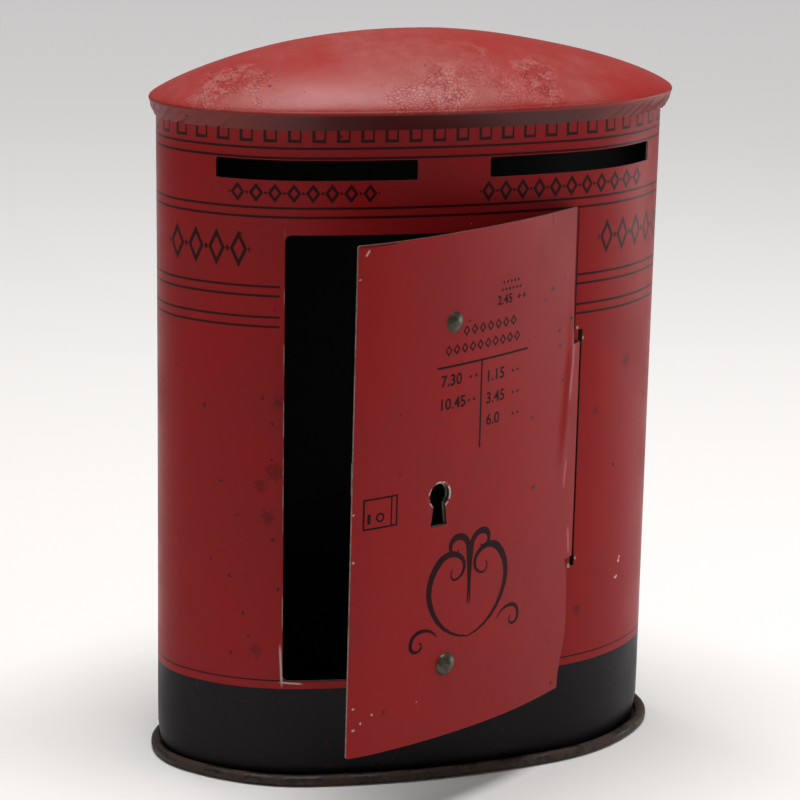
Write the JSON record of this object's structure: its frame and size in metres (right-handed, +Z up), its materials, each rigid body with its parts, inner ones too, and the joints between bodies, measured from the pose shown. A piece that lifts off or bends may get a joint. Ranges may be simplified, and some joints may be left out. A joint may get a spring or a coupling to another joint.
{
  "type": "tin money box",
  "caption": "Oval tinplate money box shaped as a street post box, with a domed lid, coin slots, a curved hinged door and a key lock behind it.",
  "frame": {"origin": "centre of the oval body on the plane that the base stands on", "axes": "+Z up; the front with the coin slots and the door faces -Y; the door's hinge is on the +X side"},
  "size_m": [0.1156, 0.0825, 0.1592],
  "materials": {
    "red_litho": "printed red enamel on tinplate with thin black lines and a black foot band, satin, lightly worn",
    "lid_litho": "red enamel on tinplate, satin, rubbed on the crown",
    "door_litho": "printed red enamel on tinplate, satin, bare tin inside",
    "bare_tin": "bare tinplate, tarnished and rusty",
    "lock_steel": "plain mild steel, dull",
    "rivet": "tarnished rivet heads"
  },
  "bodies": {
    "box": {"body_wall": "red_litho", "lid": "lid_litho", "base_pan": "bare_tin"},
    "door": {"door_panel": "door_litho", "lock_back_plate": "lock_steel", "lock_case": "lock_steel", "bolt_spring": "lock_steel", "lock_strap": "lock_steel", "rivet_upper": "rivet", "rivet_lower": "rivet"},
    "bolt": {"lock_bolt": "lock_steel"}
  },
  "joints": [
    {"name": "door_hinge", "type": "hinge", "parent": "box", "child": "door", "pos_m": [0.02996, -0.02344, 0.0711], "axis": [0, 0, 1], "range_deg": [-27.6, 82]},
    {"name": "bolt_slide", "type": "slide", "parent": "door", "child": "bolt", "axis": [-0.9168, -0.3994, 0], "range_m": [0, 0.005]}
  ]
}
